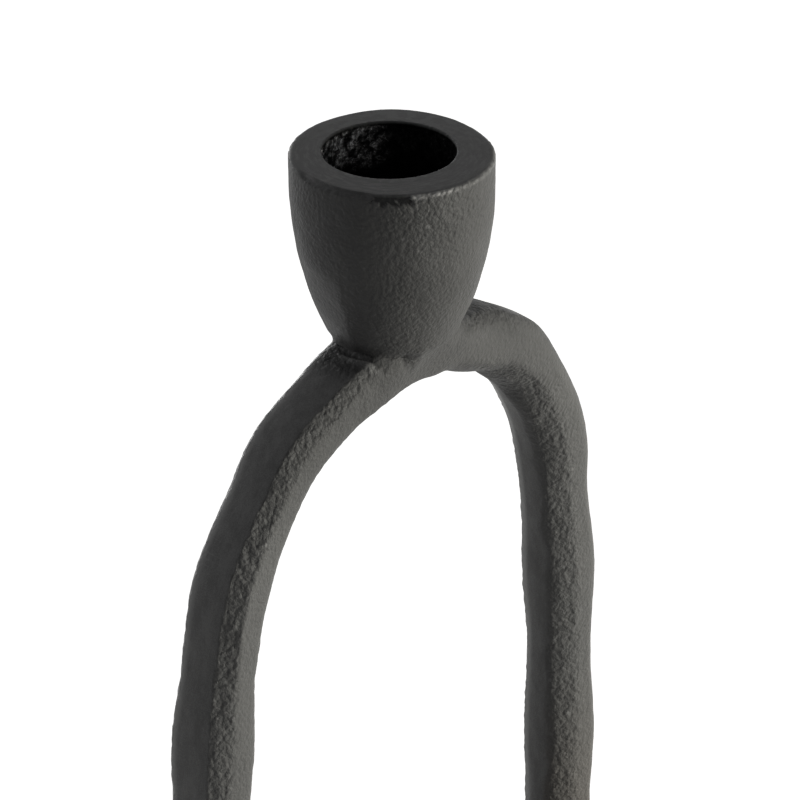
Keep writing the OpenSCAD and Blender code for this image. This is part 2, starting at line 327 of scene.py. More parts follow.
class Studio(bpy.types.PropertyGroup):
    """Camera and light of the picture"""

    azimuth: angle_setting(
        "Azimuth", "Direction of the camera round the holder, from the front towards its right", -50.0)
    pitch: angle_setting("Pitch", "Angle by which the camera looks down", 28.3)
    distance: FloatProperty(
        name="Distance", description="Distance of the camera from the rim of the cup",
        default=0.7, min=0.2, subtype="DISTANCE", unit="LENGTH")
    lens: number_setting(
        "Lens", "Focal length of the camera on a 36 mm sensor, in millimetres", 186.2, 20.0, 400.0)
    ambient: number_setting("Ambient", "Strength of the light from all round", 0.155, 0.0, 1.0)
    key_turn: angle_setting("Key turn", "Angle of the key lamp towards the camera's right", 83.0)
    key_power: power_setting("Key power", "Power of the soft lamp at the camera's right", 7.9)
    fill_turn: angle_setting("Fill turn", "Angle of the fill lamp towards the camera's right", -117.0)
    fill_power: power_setting(
        "Fill power", "Power of the soft lamp behind the holder at the camera's left", 5.0)
    edge_turn: angle_setting("Edge turn", "Angle of the edge lamp towards the camera's right", -155.0)
    edge_power: power_setting(
        "Edge power", "Power of the lamp that draws the left edges from behind", 6.0)


# Node trees


class Signal:
    """A socket of a node tree. Python's operators on it add Math nodes."""

    def __init__(self, graph, socket):
        self.graph = graph
        self.socket = socket

    def maths(self, operation, first, second):
        return self.graph.node("ShaderNodeMath", {"operation": operation}, {0: first, 1: second})

    def __add__(self, other):
        return self.maths("ADD", self, other)

    def __sub__(self, other):
        return self.maths("SUBTRACT", self, other)

    def __rsub__(self, other):
        return self.maths("SUBTRACT", other, self)

    def __mul__(self, other):
        return self.maths("MULTIPLY", self, other)

    __radd__ = __add__
    __rmul__ = __mul__


class Graph:
    """A node tree that is being filled."""

    def __init__(self, owner):
        owner.use_nodes = True
        self.owner = owner
        self.tree = owner.node_tree
        self.tree.nodes.clear()

    def node(self, kind, settings=None, sockets=None, output=0):
        """Adds a node, gives it its settings, then the values or links of its sockets."""
        made = self.tree.nodes.new(kind)
        for name, value in (settings or {}).items():
            setattr(made, name, value)
        for name, value in (sockets or {}).items():
            if isinstance(value, Signal):
                self.tree.links.new(value.socket, made.inputs[name])
            else:
                made.inputs[name].default_value = value
        return Signal(self, made.outputs[output]) if made.outputs else made

    def ramp(self, value, low, high):
        """Smooth step from 0 to 1."""
        return self.node(
            "ShaderNodeMapRange", {"interpolation_type": "SMOOTHSTEP"},
            {"Value": value, "From Min": low, "From Max": high})

    def grain(self, place, size, detail=2.0, distortion=0.0, roughness=0.55):
        """Noise of 0 to 1 whose grains are the given size."""
        return self.node(
            "ShaderNodeTexNoise", {"noise_dimensions": "3D"},
            {"Vector": place, "Scale": 1.0 / size, "Detail": detail, "Roughness": roughness,
             "Distortion": distortion})

    def cells(self, place, size, smoothness=0.0):
        """Distance to the middle of the nearest cell, for cells of the given size."""
        sockets = {"Vector": place, "Scale": 1.0 / size, "Randomness": 1.0}
        if smoothness:
            sockets["Smoothness"] = smoothness
        return self.node(
            "ShaderNodeTexVoronoi", {"feature": "SMOOTH_F1" if smoothness else "F1"}, sockets)

    def stretched(self, place, scale, rotation=(0.0, 0.0, 0.0)):
        """A place that is turned and scaled, which draws a texture out."""
        return self.node(
            "ShaderNodeMapping", sockets={"Vector": place, "Rotation": rotation, "Scale": scale})

    def parts(self, vector):
        """The three parts of a vector."""
        apart = self.node("ShaderNodeSeparateXYZ", sockets={"Vector": vector}).socket.node
        return [Signal(self, output) for output in apart.outputs]

    def tint(self, share, first, second):
        """Mixes two colours."""
        return self.node(
            "ShaderNodeMix", {"data_type": "RGBA"}, {0: share, 6: first, 7: second}, output=2)

    def mask(self, name):
        """A value that the piece's mesh carries."""
        return self.node("ShaderNodeAttribute", {"attribute_name": name}, output=2)

    def seen_directly(self):
        """1 for the rays that show the surroundings themselves, 0 for those that light the object."""
        path = self.node("ShaderNodeLightPath")
        rays = [Signal(self, path.socket.node.outputs[name])
                for name in ("Is Camera Ray", "Is Glossy Ray", "Is Transmission Ray")]
        return self.node(
            "ShaderNodeMath", {"operation": "MINIMUM"}, {0: rays[0] + rays[1] + rays[2], 1: 1.0})


# Materials


def rgba(colour, level=1.0):
    """Colour with its alpha, made lighter or darker by a level."""
    return tuple(level * part for part in colour) + (1.0,)


def paint_material(name, holder):
    """Matt black paint on rough castings, with painted light and shade. The masks on the pieces say where
    the paint is ground flat, hammered, turned or chipped, and where shade, glints and highlights are
    painted."""
    finish, skin = holder.finish, holder.skin
    graph = Graph(bpy.data.materials.new(name))
    place = graph.node("ShaderNodeTexCoord", output=3)
    ground, hammered, turned, chipped, dark, specked, worn = (graph.mask(name) for name in MASKS)

    def paint(level):
        return rgba(finish.paint, level)

    # Relief: pebbles all over, dents where it is hammered, and turning marks round the cup's axis
    pebbles = graph.cells(place, skin.peel_size, 0.4)
    peel = graph.grain(place, skin.peel_size, 2.0, 0.5)
    dents = graph.cells(place, skin.peel_size / 0.8, 0.25)
    lumpy = graph.grain(place, 1.2 * skin.peel_size, 3.0, 0.2) - dents * 0.8
    fine = graph.grain(place, 0.22 * MM, 2.0)
    across, along, up = graph.parts(place)
    flat = graph.node("ShaderNodeCombineXYZ", sockets={"X": across, "Y": along})
    radius = graph.node("ShaderNodeVectorMath", {"operation": "LENGTH"}, {0: flat}, output=1)
    way = graph.node("ShaderNodeVectorMath", {"operation": "NORMALIZE"}, {0: flat})
    ringed = graph.node(
        "ShaderNodeVectorMath", {"operation": "MULTIPLY_ADD"},
        {0: way, 1: (5.0, 5.0, 0.0),
         2: graph.node("ShaderNodeCombineXYZ", sockets={"Z": radius * 1500.0})})
    rings = graph.grain(ringed, 1.0, 3.0, roughness=0.6)
    skin_height = (peel * 0.8 - pebbles * 0.45) * (1.0 - ground * 0.75) * (1.0 - turned)
    height = (skin_height + lumpy * hammered * 1.3 + fine * (0.10 - turned * 0.05)
              + rings * turned * 0.10)
    bump = graph.node(
        "ShaderNodeBump", sockets={"Height": height, "Distance": skin.peel, "Strength": 1.0})

    # Coats over the paint, each with its share and its colour; light, shade, highlights and glints are
    # painted in some of them
    patches = graph.grain(place, 9.0 * MM, 3.0)
    dust = graph.ramp(fine * 0.6 + peel * 0.4, 0.5, 0.75)
    below_seat = graph.ramp(up, SEAT_Z - 5.0 * MM, SEAT_Z - 30.0 * MM)
    near_foot = graph.ramp(up, SEAT_Z - 85.0 * MM, SEAT_Z - 130.0 * MM)
    smears = graph.grain(graph.stretched(place, (420.0, 420.0, 170.0)), 1.0, 4.0, roughness=0.6)
    smeared = graph.tint(
        graph.ramp(smears * 0.55 + fine * 0.45, 0.36, 0.64), paint(1.5), paint(2.35))
    backwards = graph.node(
        "ShaderNodeVectorMath", {"operation": "DOT_PRODUCT"}, {0: flat, 1: (0.77, 0.64, 0.0)},
        output=1)
    blots = graph.ramp(graph.grain(place, 1.8 * MM, 3.0), 0.45, 0.62)
    scratched = graph.stretched(place, (60.0, 60.0, 5200.0), (0.1, 0.06, 0.0))
    sparse = graph.ramp(graph.grain(place, 6.0 * MM, 1.0), 0.55, 0.7)
    hairs = graph.ramp(graph.grain(scratched, 1.0, 1.0, roughness=0.5), 0.6, 0.68) * sparse * ground
    nicks = graph.ramp(graph.cells(place, 4.5 * MM), 0.13, 0.05) * hammered * (1.0 - specked)
    soft = graph.ramp(graph.grain(place, 1.7 * MM, 2.0, 0.6), 0.36, 0.66)
    dots = graph.ramp(graph.grain(place, 0.42 * MM, 2.0, 0.6), 0.42, 0.72)
    specks = (soft * 0.4 + dots * soft * 0.9 + dots * 0.15 + 0.05) * specked
    colour = graph.tint(graph.ramp(patches, 0.3, 0.7), paint(0.92), paint(1.1))
    for share, coat in (
            (dust * (0.25 + turned * 0.7), paint(1.7)),
            # painted light: the bar below the cup's seat is painted lighter than the cup
            (below_seat, paint(1.5)),
            (near_foot * 0.8, rgba((1.07, 1.0, 0.93), 1.5 * finish.paint[1])),
            # the ground faces, partly their real smoother paint and partly painted reflection, lighter in
            # smears
            (ground * 0.95, smeared),
            # painted highlight: the turned rim's far half, towards the back right, is painted lighter
            (graph.ramp(backwards, -0.002, 0.018) * turned, paint(1.8)),
            (graph.ramp(rings, 0.4, 0.7) * turned * 0.7, paint(1.8)),
            (blots * turned * 0.45, paint(0.85)),
            (hairs * 0.5, paint(2.6)),
            # nicks on the hammered corners, partly real chips in the paint and partly painted glints
            (nicks, paint(3.0)),
            # painted glints: specks on the bore's lit wall, painted very light
            (specks, paint(14.0)),
            # wear and painted highlights: the burr, the rim's edge, the bead and the back corners of the
            # bar
            (worn, paint(3.5)),
            # the chip, painted near black as the shade in it
            (chipped, paint(0.12))):
        colour = graph.tint(share, colour, coat)

    roughness = (finish.paint_roughness + (patches - 0.5) * 0.1 + (fine - 0.5) * 0.12
                 - chipped * 0.35 - worn * 0.15)
    coated = graph.node(
        "ShaderNodeBsdfPrincipled",
        sockets={"Base Color": colour, "Roughness": roughness, "Normal": bump,
                 "Specular IOR Level": finish.paint_sheen})
    # Painted shade: where its mask says, the paint turns into a near black matt, except where glints are
    # painted
    soot = graph.node("ShaderNodeBsdfDiffuse", sockets={"Color": paint(0.05)})
    shader = graph.node(
        "ShaderNodeMixShader", sockets={0: dark * (1.0 - specks), 1: coated, 2: soot})
    graph.node("ShaderNodeOutputMaterial", sockets={"Surface": shader})
    return graph.owner


def steel_material(name, holder):
    """Zinc-plated steel, slightly cloudy."""
    steel = holder.finish.steel
    graph = Graph(bpy.data.materials.new(name))
    place = graph.node("ShaderNodeTexCoord", output=3)
    clouds = graph.grain(place, 2.5 * MM, 4.0)
    fine = graph.grain(place, 0.12 * MM, 2.0)
    colour = graph.tint(graph.ramp(clouds, 0.3, 0.7), rgba(steel, 0.85), rgba(steel, 1.08))
    bump = graph.node("ShaderNodeBump", sockets={"Height": fine, "Distance": 0.006 * MM})
    shader = graph.node(
        "ShaderNodeBsdfPrincipled",
        sockets={"Base Color": colour, "Metallic": 1.0, "Roughness": 0.26 + clouds * 0.2,
                 "Normal": bump})
    graph.node("ShaderNodeOutputMaterial", sockets={"Surface": shader})
    return graph.owner


def felt_material(name, holder):
    """Pressed black felt with short loose fibres."""
    felt = holder.finish.felt
    graph = Graph(bpy.data.materials.new(name))
    place = graph.node("ShaderNodeTexCoord", output=3)
    fibres = graph.grain(place, 0.3125 * MM, 4.0, 2.5, 0.7)
    mat = graph.grain(place, 1.6 * MM, 3.0)
    colour = graph.tint(graph.ramp(fibres, 0.4, 0.7), rgba(felt), rgba(felt, 2.6))
    bump = graph.node(
        "ShaderNodeBump", sockets={"Height": fibres + mat * 0.6, "Distance": 0.12 * MM})
    shader = graph.node(
        "ShaderNodeBsdfPrincipled",
        sockets={"Base Color": colour, "Roughness": 0.9 + fibres * 0.1, "Normal": bump,
                 "Specular IOR Level": 0.2, "Sheen Weight": 0.3, "Sheen Roughness": 0.6})
    graph.node("ShaderNodeOutputMaterial", sockets={"Surface": shader})
    return graph.owner


# The material of each of the record's slots
FINISH_OF = {
    "black_casting": ("casting_paint", paint_material),
    "zinc_steel": ("zinc_plating", steel_material),
    "black_felt": ("pressed_felt", felt_material),
}


# Mesh helpers


def lumps(points, size, octaves=1, phase=0.0):
    """Smooth noise of about -1 to 1 at each point, with lumps of the given size."""
    return np.array([
        noise.fractal(Vector(point), 1.0, 2.0, octaves) for point in points / size + phase])


def smooth(low, high, values):
    """Smooth step from 0 to 1."""
    share = np.clip((values - low) / (high - low), 0.0, 1.0)
    return share * share * (3.0 - 2.0 * share)


def window(values, start, full, fade, end):
    """Smooth step up to 1 from start to full, and down again to 0 from fade to end."""
    return smooth(start, full, values) * smooth(end, fade, values)


def points_of(mesh, what="co"):
    """Places or normals of the vertices, one row each."""
    values = np.empty(len(mesh.vertices) * 3, np.float32)
    mesh.vertices.foreach_get(what, values)
    return values.reshape(-1, 3).astype(float)


def place_points(mesh, points):
    """Moves the vertices to the given places."""
    mesh.vertices.foreach_set("co", points.astype(np.float32).ravel())
    mesh.update()


def shift_points(mesh, x, y):
    """Moves all vertices of a mesh sideways."""
    place_points(mesh, points_of(mesh) + (x, y, 0.0))


def mask_of(mesh, name):
    """Reads back a value that each vertex carries."""
    values = np.empty(len(mesh.vertices), np.float32)
    mesh.attributes[name].data.foreach_get("value", values)
    return values.astype(float)


def carry_masks(mesh, **masks):
    """Gives each vertex all the values that the paint reads; those left out are zero."""
    for name in MASKS:
        mask = mesh.attributes.new(name, "FLOAT", "POINT")
        values = np.broadcast_to(masks.get(name, 0.0), len(mesh.vertices))
        mask.data.foreach_set("value", values.astype(np.float32))


def mesh_of(bm, name):
    """Turns a bmesh into a mesh with smooth faces."""
    mesh = bpy.data.meshes.new(name)
    bm.to_mesh(mesh)
    bm.free()
    mesh.shade_smooth()
    return mesh


def piece_of(mesh):
    """Puts a mesh into the scene."""
    piece = bpy.data.objects.new(mesh.name, mesh)
    bpy.context.scene.collection.objects.link(piece)
    return piece


def dress(piece, node, slot):
    """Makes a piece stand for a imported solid, ride on the holder and take its finish."""
    if len(piece.data.polygons) == 0:
        raise RuntimeError(f"{piece.name} came out empty")
    name, make = FINISH_OF[slot]
    made = bpy.data.materials.get(name) or make(name, bpy.context.scene.candle_holder)
    piece.data.materials.clear()
    piece.data.materials.append(made)
    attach(piece, "root")
    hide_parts(node)


def round_solid(node):
    """Lower and upper height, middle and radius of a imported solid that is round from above."""
    low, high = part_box(node)
    return low.z, high.z, (low + high) / 2, (high.x - low.x) / 2


def cut_away(piece, cutters):
    """Subtracts the cutters from a piece and deletes them."""
    for number, cutter in enumerate(cutters):
        cut = piece.modifiers.new(f"cut_{number}", "BOOLEAN")
        cut.operation = "DIFFERENCE"
        cut.solver = "EXACT"
        cut.object = cutter
    graph = bpy.context.evaluated_depsgraph_get()
    cut_mesh = bpy.data.meshes.new_from_object(piece.evaluated_get(graph))
    whole = piece.data
    cut_mesh.name = whole.name
    piece.modifiers.clear()
    piece.data = cut_mesh
    bpy.data.meshes.remove(whole)
    for cutter in cutters:
        bpy.data.meshes.remove(cutter.data)


def rod(x, y, low, high, radius, sides=64):
    """A plain round or hexagonal cutter."""
    bm = bmesh.new()
    bmesh.ops.create_cone(
        bm, cap_ends=True, segments=sides, radius1=radius, radius2=radius, depth=high - low,
        matrix=Matrix.Translation((x, y, (low + high) / 2)))
    return piece_of(mesh_of(bm, "cutter"))


def resampled(corners, spacing):
    """Points no further apart than the spacing along a line of corners, without its last corner."""
    points = []
    for start, end in zip(corners, corners[1:]):
        steps = max(1, math.ceil(math.dist(start[:2], end[:2]) / spacing))
        points += [tuple(a + (b - a) * k / steps for a, b in zip(start, end)) for k in range(steps)]
    return points


def turned_mesh(outline, steps, name, closed=False, layer=None):
    """Mesh of an outline of (radius, height) points that is spun round the Z axis. A third number of
    each point goes into the named layer."""
    bm = bmesh.new()
    values = bm.verts.layers.float.new(layer) if layer else None
    ring = []
    for point in outline:
        vert = bm.verts.new((point[0], 0.0, point[1]))
        if layer:
            vert[values] = point[2]
        ring.append(vert)
    for first, second in zip(ring, ring[1:] + (ring[:1] if closed else [])):
        bm.edges.new((first, second))
    bmesh.ops.spin(
        bm, geom=bm.verts[:] + bm.edges[:], cent=(0, 0, 0), axis=(0, 0, 1), dvec=(0, 0, 0),
        angle=2 * math.pi, steps=steps, use_merge=True, use_normal_flip=False, use_duplicate=False)
    bmesh.ops.remove_doubles(bm, verts=bm.verts, dist=0.001 * MM)
    bmesh.ops.recalc_face_normals(bm, faces=bm.faces)
    return mesh_of(bm, name)


# Candle cup


def cup_radius(cup, depth):
    """Outside radius of the cup at a depth below its rim."""
    drop = (cup.rim_diameter - cup.foot_diameter) * (depth / (RIM_Z - SEAT_Z)) ** cup.taper
    return (cup.rim_diameter - drop) / 2


def slot_reach(bar):
    """Half the width of the slot between the cup's lips."""
    return bar.depth * CROWN_SHARE / 2 + LIP_GAP


def cup_outline(cup, bar):
    """Closed outline of the cup's wall as radius, height and share of the bore's offset."""
    height = RIM_Z - SEAT_Z
    floor = RIM_Z - cup.bore_depth
    bore = cup.bore_diameter / 2
    chamfer = 0.2 * MM
    edge = cup.rim_edge
    slot = slot_reach(bar)
    rim_corner = cup_radius(cup, edge) - edge
    lean = math.atan(cup.taper * (cup.rim_diameter - cup.foot_diameter) / height / 2)
    foot = cup.foot_edge * (1 - math.sin(lean))
    foot_radius = cup_radius(cup, height - foot)

    rim_round = [
        (rim_corner + edge * math.sin(turn), RIM_Z - edge * (1 - math.cos(turn)), 0.0)
        for turn in np.linspace(0, math.pi / 2, 6)]
    side = [
        (cup_radius(cup, depth), RIM_Z - depth, 0.0)
        for depth in np.linspace(edge, height - foot, 60)[1:]]
    foot_round = [
        (foot_radius + cup.foot_edge * (math.cos(turn) - math.cos(lean)),
         SEAT_Z + cup.foot_edge * (1 - math.sin(turn)), 0.0)
        for turn in np.linspace(lean, math.pi / 2, 6)[1:]]
    lip = [
        (slot + cup.lip_thickness * math.cos(turn), SEAT_Z - cup.lip_drop * math.sin(turn), 0.0)
        for turn in np.linspace(0, math.pi / 2, 7)]
    underside = [
        (CLEAR_RADIUS, SEAT_Z - cup.lip_drop, 0.0),
        (CLEAR_RADIUS, floor - COUNTERSINK_DEPTH, 0.0),
        (COUNTERSINK_RADIUS, floor - 0.4 * MM, 0.0),
        (COUNTERSINK_RADIUS, floor, 0.0)]
    bore_wall = [
        (bore, floor, 1.0),
        (bore, RIM_Z - chamfer, 1.0),
        (bore + chamfer, RIM_Z, 1.0)]
    outside = resampled(rim_round + side + foot_round, 0.28 * MM)
    below = (resampled([foot_round[-1]] + lip, 0.3 * MM)
             + resampled([lip[-1]] + underside + bore_wall[:1], 0.9 * MM))
    inside = resampled(bore_wall + rim_round[:1], 0.36 * MM)
    return outside + below + inside


def side_angle(points):
    """Angle in degrees of each point round the cup's axis, from the front towards the right."""
    return np.degrees(np.arctan2(points[:, 0], -points[:, 1]))


def cup_marks(cup, points, angle, depth, outside):
    """Shares of the marks on the outside of the cup: the flat filed at its lower left, the strip under
    the rim, the bright burr in it, the rest of the rim's edge, and the chip; and the chip's depth."""
    along = np.radians(angle - CHIP_ANGLE) * cup.rim_diameter / 2
    ragged = lumps(points, 1.1 * MM, 3, 9.0)
    blots = lumps(points, 1.6 * MM, 2, 21.0)
    radius = np.hypot(points[:, 0], points[:, 1])
    facing = np.cos(np.radians(angle - FILED_ANGLE)) - math.cos(math.radians(FILED_HALF_ANGLE))
    filed = outside * smooth(*FILED_DEPTHS, depth) * np.clip(facing / FILED_RISE, 0.0, 1.0)
    near_rim = window(depth, *NEAR_RIM_DEPTHS) * outside
    burred = (
        window(along, *BURR_REACH)
        * smooth(0.9 * MM, 0.2 * MM, depth + 0.3 * MM * ragged)
        * outside * smooth(-0.2 * MM, 0.15 * MM, depth))
    edged = (radius > 16.0 * MM) * window(depth, *EDGE_DEPTHS) * (1 - burred)
    chip = outside * (
        smooth(3.5 * MM, 3.1 * MM, np.abs(along - 0.1 * MM) + 0.8 * MM * ragged)
        * smooth(0.01 * MM, 0.05 * MM, depth)
        * smooth(1.6 * MM, 1.4 * MM, depth + 0.8 * MM * ragged + 0.7 * MM * blots))
    return filed, near_rim, burred, edged, chip, chip * (CHIP_CUT + 0.12 * MM * ragged)


def shape_cup(mesh, holder):
    """Gives the turned cup its rough cast skin, its chipped rim, the pitted bore and its run into the
    bar."""
    cup, skin = holder.cup, holder.skin
    points = points_of(mesh)
    normals = points_of(mesh, "normal")
    share = mask_of(mesh, "bore_share")
    in_bore = share > 0.99
    radius = np.hypot(points[:, 0], points[:, 1])
    depth = RIM_Z - points[:, 2]
    angle = side_angle(points)
    wall = cup_radius(cup, np.clip(depth, 0.0, RIM_Z - SEAT_Z))
    outside = smooth(-0.6 * MM, -0.1 * MM, radius - wall)
    bored = in_bore * smooth(0.3 * MM, 0.9 * MM, depth)
    rim = smooth(0.35 * MM, 0.05 * MM, depth)
    filed, near_rim, burred, edged, chip, chip_depth = cup_marks(cup, points, angle, depth, outside)

    # Heights of the skin over the turned shape: lumps, a full right side, and the marks
    heights = outside * (1 - rim) * skin.broad * (
        lumps(points, 8.0 * MM, 2) + 0.4 * lumps(points, 2.6 * MM, 2))
    heights += (
        BULGE_HEIGHT * outside * window(angle, *BULGE_ANGLES) * window(depth, *BULGE_DEPTHS))
    heights -= FILED_CUT * filed
    heights += near_rim * 0.09 * MM * lumps(points, 1.2 * MM, 2, 3.1)
    heights += burred * BURR_HEIGHT * lumps(points, 0.9 * MM, 2, 6.0)
    heights -= chip_depth
    pitted = skin.pits * (
        lumps(points, 2.2 * MM, 3, 7.0) - 0.8 * np.abs(lumps(points, 0.9 * MM, 2, 2.0)))
    heights += bored * np.clip(pitted, -0.4 * MM, 0.12 * MM)
    points += normals * heights[:, None]

    # The rim is a little out of round, and its edge is rubbed off at the left
    upper = smooth(7.0 * MM, 1.0 * MM, depth) * smooth(12.0 * MM, 16.0 * MM, radius)
    uneven = upper * (0.45 * MM * window(angle, *WIDE_RIM_ANGLES)
                      - 0.3 * MM * window(angle, *NARROW_RIM_ANGLES))
    points[:, :2] *= (1 + uneven / np.maximum(radius, MM))[:, None]
    rubbed = window(angle, *RUBBED_ANGLES) * (share == 0)
    past = np.clip((radius - wall + 1.3 * MM - depth) * rubbed, 0.0, None) * (radius > 14.0 * MM)
    past = np.where(past > 0.6 * MM, past - 0.15 * MM, past ** 2 / (2.4 * MM)) / 2
    points[:, :2] *= (1 - past / np.maximum(radius, MM))[:, None]
    points[:, 2] -= past
    points[:, :2] += share[:, None] * np.array(cup.bore_offset)[None, :]

    # The foot and the lips run into the bar, and the slot between the lips sits on it
    near = np.flatnonzero((share == 0) & (depth > 23.0 * MM) & (radius > 6.2 * MM))
    lip = points[near, 2] < SEAT_Z - 0.2 * MM
    level = np.where(lip, -0.2 * MM, heights[near])
    outer = smooth(*HOLLOW_GAPS, bar_gap(holder.bar, points[near]))
    points[near] = run_together(holder, points[near], level, outer)
    reach = np.hypot(points[:, 0], points[:, 1])
    in_slot = (
        (np.abs(points[:, 1]) < slot_reach(holder.bar)) & (radius > 3.0 * MM) & (reach < 10.4 * MM))
    points[in_slot, 2] = np.maximum(points[in_slot, 2], SEAT_Z)
    place_points(mesh, points)

    # Masks for the paint: painted shade in the bore and just above the seat, painted glints on the lit
    # wall of the bore, painted highlights on the rim's edge and burr, and the chip, painted near black as
    # shade
    streaky = 0.5 + 0.5 * lumps(points, 0.7 * MM, 2, 4.0)
    peened = window(angle, *PEENED_ANGLES) * (0.2 + 0.45 * smooth(14.0 * MM, 4.0 * MM, depth))
    lit_wall = in_bore * (smooth(-90.0, -125.0, angle) + smooth(125.0, 150.0, angle))
    above_seat = points[:, 2] - SEAT_Z
    shaded = outside * window(angle, *SHADED_ANGLES) * smooth(3.0 * MM, 0.6 * MM, above_seat)
    # Painted highlights on the rim's edge, strongest towards the front, and on the burr
    bright_edge = edged * (0.1 + 0.5 * window(angle, *BRIGHT_EDGE_ANGLES))
    carry_masks(
        mesh, chipped=chip, turned=rim * (1 - in_bore), ground=0.6 * smooth(0.0, 0.5, filed),
        hammered=near_rim * 0.3 + bored + outside * peened,
        dark=in_bore * smooth(0.05 * MM, 0.4 * MM, depth) + 0.3 * shaded,
        specked=(lit_wall + 0.1 * in_bore) * window(depth, *SPECKED_DEPTHS),
        worn=np.clip(burred * (2.4 * streaky + 0.1), 0.0, 1.0) + bright_edge * streaky)


class HOLDER_OT_candle_cup(bpy.types.Operator):
    """Turn the cup with its candle bore and saddle it over the crown of the arch"""

    bl_idname = "holder.candle_cup"
    bl_label = "Candle Cup"

    def execute(self, context):
        holder = context.scene.candle_holder
        outline = cup_outline(holder.cup, holder.bar)
        mesh = turned_mesh(outline, 360, "cup_casting", closed=True, layer="bore_share")
        shape_cup(mesh, holder)
        dress(piece_of(mesh), "candle_cup", "black_casting")
        return {"FINISHED"}


# Arch


def share_at(table, places, column):
    """One column of a table of the bar at places along the bar."""
    rows = np.clip(np.searchsorted(table[:, 0], places, side="right") - 1, 0, len(table) - 2)
    start, end = table[rows], table[rows + 1]
    part = (1 - np.cos(math.pi * (places - start[:, 0]) / (end[:, 0] - start[:, 0]))) / 2
    return start[:, column] + (end[:, column] - start[:, column]) * part


def centre_line(bar, places):
    """Centre line of the bar in X and Z."""
    crown = SEAT_Z - PLATE_TOP_Z + bar.seat_cut - bar.thickness * CROWN_SHARE / 2
    way_up = 1 - (2 * np.abs(places - 0.5)) ** 2
    across = np.sign(places - 0.5) * bar.span / 2 * np.sqrt(1 - way_up ** bar.curve)
    return np.stack((across, PLATE_TOP_Z + crown * way_up), axis=1)


def bar_rings(bar, count):
    """Evenly spaced rings of the bar: place, centre, outward direction, thickness and depth."""
    places = np.linspace(0.0, 1.0, 4001)
    steps = np.linalg.norm(np.diff(centre_line(bar, places), axis=0), axis=1)
    run = np.insert(np.cumsum(steps), 0, 0.0)
    even = np.interp(np.linspace(0.0, run[-1], count + 1), run, places)
    apart = 1 / 92
    before, after = np.maximum(even - apart, 0.0), np.minimum(even + apart, 1.0)
    step = centre_line(bar, after) - centre_line(bar, before)
    outward = np.stack((-step[:, 1], step[:, 0]), axis=1) / np.linalg.norm(step, axis=1)[:, None]
    outward[0], outward[-1] = (-1.0, 0.0), (1.0, 0.0)
    centre = centre_line(bar, even) + outward * (bar.thickness * share_at(BAR_SHARES, even, 3))[:, None]
    thickness = bar.thickness * share_at(BAR_SHARES, even, 1)
    return even, centre, outward, thickness, bar.depth * share_at(BAR_SHARES, even, 2)


def front_swell(bar, across, outward):
    """How far the front of the bar stands out under the cup, at a place in X and a height in its
    section."""
    return bar.swell * window(across, *SWELL_REACH) * smooth(-3.5 * MM, 2.0 * MM, outward)


def round_corner_gap(beside, above, radius):
    """Distance from a rounded corner, from the distances beside and above the middle of its rounding."""
    outer = np.hypot(np.maximum(beside, 0.0), np.maximum(above, 0.0))
    return outer + np.minimum(np.maximum(beside, above), 0.0) - radius


def cup_gap(cup, points):
    """Distance from the body of the cup, negative inside it."""
    depth = np.clip(RIM_Z - points[:, 2], 0.0, RIM_Z - SEAT_Z)
    beside = 0.9 * (np.hypot(points[:, 0], points[:, 1]) - cup_radius(cup, depth)) + cup.foot_edge
    below = SEAT_Z - points[:, 2] + cup.foot_edge
    return round_corner_gap(beside, below, cup.foot_edge)


def bar_gap(bar, points):
    """Distance from the bar near its crown, negative inside it."""
    reach = np.clip(np.abs(points[:, 0]) / (bar.span / 2), 0.0, 0.9)
    places = 0.5 + np.sign(points[:, 0]) * np.sqrt(1 - (1 - reach ** 2) ** (1 / bar.curve)) / 2
    thickness = bar.thickness * share_at(BAR_SHARES, places, 1)
    depth = bar.depth * share_at(BAR_SHARES, places, 2)
    shift = bar.thickness * share_at(BAR_SHARES, places, 3)
    rise = points[:, 2] - centre_line(bar, places)[:, 1] - shift
    swell = (points[:, 1] < 0) * front_swell(bar, points[:, 0], rise)
    beside = np.abs(points[:, 1]) - depth / 2 - swell + bar.corner_radius
    above = np.abs(rise) - thickness / 2 + bar.corner_radius
    return round_corner_gap(beside, above, bar.corner_radius)


def run_together(holder, points, level, share):
    """Moves points of the cup or the bar onto the skin that joins the two in a soft hollow, as far as
    their share says. The level is each point's own height above the plain skin, which fades out towards
    the middle of the hollow."""
    angles, reaches = zip(*HOLLOW_REACH)

    def gaps(places):
        reach = np.interp(side_angle(places), angles, reaches) * MM
        cup, bar = cup_gap(holder.cup, places), bar_gap(holder.bar, places)
        near = np.clip(1.0 - np.abs(cup - bar) / reach, 0.0, 1.0)
        return np.minimum(cup, bar) - near * near * reach / 4, cup - bar

    probe = 0.02 * MM
    moved = points
    for _ in range(14):
        gap, aside = gaps(moved)
        slope = np.stack(
            [(gaps(moved + probe * axis)[0] - gap) / probe for axis in np.eye(3)], axis=1)
        steep = np.maximum(np.linalg.norm(slope, axis=1), 0.2)
        wanted = level * (1 - np.exp(-(aside / (1.6 * MM)) ** 2))
        step = np.clip((gap - wanted) / steep, -0.5 * MM, 0.5 * MM)
        moved = moved - (step / steep)[:, None] * slope
    return points + (moved - points) * share[:, None]


